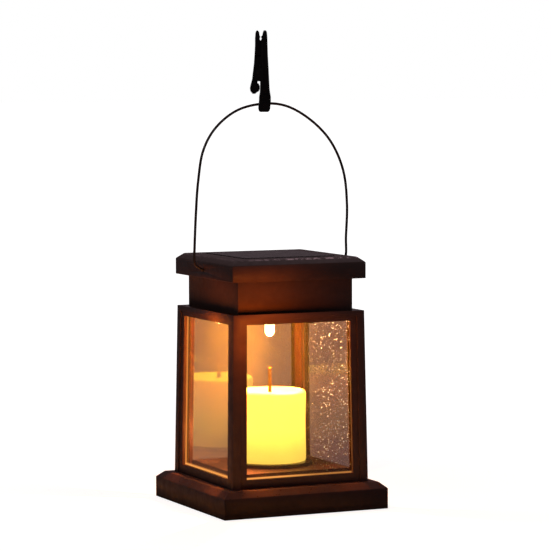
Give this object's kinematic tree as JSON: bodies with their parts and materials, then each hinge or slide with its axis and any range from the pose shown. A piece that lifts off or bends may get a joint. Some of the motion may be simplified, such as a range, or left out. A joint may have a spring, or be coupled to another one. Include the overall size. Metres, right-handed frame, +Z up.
{
  "type": "hanging lantern",
  "caption": "Small square solar lantern with clear side windows and a glowing candle under a solar lid, hung by a wire bail and a spring clip.",
  "frame": {"origin": "middle of the base's underside", "axes": "+Z up through the candle, LED and lid; the bail hinges about X; -Y is the front"},
  "size_m": [0.09, 0.09, 0.241],
  "materials": {
    "housing": "dark brown moulded plastic, satin",
    "pane": "clear polished plastic sheet with a light amber smoke",
    "candle": "translucent wax-like plastic, lit",
    "wick": "matt brown",
    "led": "clear epoxy, lit",
    "bail_wire": "black-brown paint on steel wire",
    "clip": "black moulded plastic",
    "steel": "plated",
    "solar_cell": "dark blue cell on a board",
    "resin": "clear cast resin",
    "board": "green solder mask",
    "battery": "plain green sleeve",
    "white_plastic": "satin",
    "black_plastic": "satin",
    "red_insulation": "satin",
    "black_insulation": "satin"
  },
  "bodies": {
    "lantern": {"base_shell": "housing", "base_cover": "housing", "base_screw_1": "steel", "base_screw_2": "steel", "base_screw_3": "steel", "base_screw_4": "steel", "frame": "housing", "pane_front": "pane", "pane_right": "pane", "pane_back": "pane", "pane_left": "pane", "candle_seat": "housing", "candle_shell": "candle", "candle_wick": "wick", "candle_screw_1": "steel", "candle_screw_2": "steel"},
    "cap": {"neck_housing": "housing", "lid": "housing", "ceiling_plate": "housing", "cap_screw_1": "steel", "cap_screw_2": "steel", "cap_screw_3": "steel", "cap_screw_4": "steel", "solar_board": "solar_cell", "solar_resin": "resin", "led_bezel": "housing", "led_lens": "led", "led_anode": "steel", "led_cathode": "steel", "circuit_board": "board", "switch_body": "white_plastic", "battery_holder": "black_plastic", "battery": "battery", "battery_contact_plus": "steel", "battery_contact_minus": "steel", "battery_spring": "steel", "panel_wire_red": "red_insulation", "panel_wire_black": "black_insulation", "battery_wire_red": "red_insulation", "battery_wire_black": "black_insulation"},
    "switch": {"switch_slider": "black_plastic"},
    "bail": {"bail": "bail_wire"},
    "clip": {"clip_arm": "clip", "clip_pin": "clip", "clip_spring": "steel"},
    "clip_lever": {"clip_lever": "clip"}
  },
  "joints": [
    {"name": "cap_lift", "type": "slide", "parent": "lantern", "child": "cap", "axis": [0, 0, 1], "range_m": [0, 0.045]},
    {"name": "switch_slide", "type": "slide", "parent": "cap", "child": "switch", "axis": [1, 0, 0], "range_m": [0, 0.0035]},
    {"name": "bail_swing", "type": "hinge", "parent": "cap", "child": "bail", "pos_m": [0, 0, 0.1204], "axis": [1, 0, 0], "range_deg": [-110, 110]},
    {"name": "clip_swing", "type": "hinge", "parent": "bail", "child": "clip", "pos_m": [-0.0026, 0, 0.204], "axis": [1, 0, 0], "continuous": true},
    {"name": "clip_squeeze", "type": "hinge", "parent": "clip", "child": "clip_lever", "pos_m": [-0.00433, 0.00079, 0.223], "axis": [-0.4163, -0.9092, 0], "range_deg": [0, 5], "stiffness_Nm_per_rad": 0.25, "springref_deg": -17.19}
  ]
}
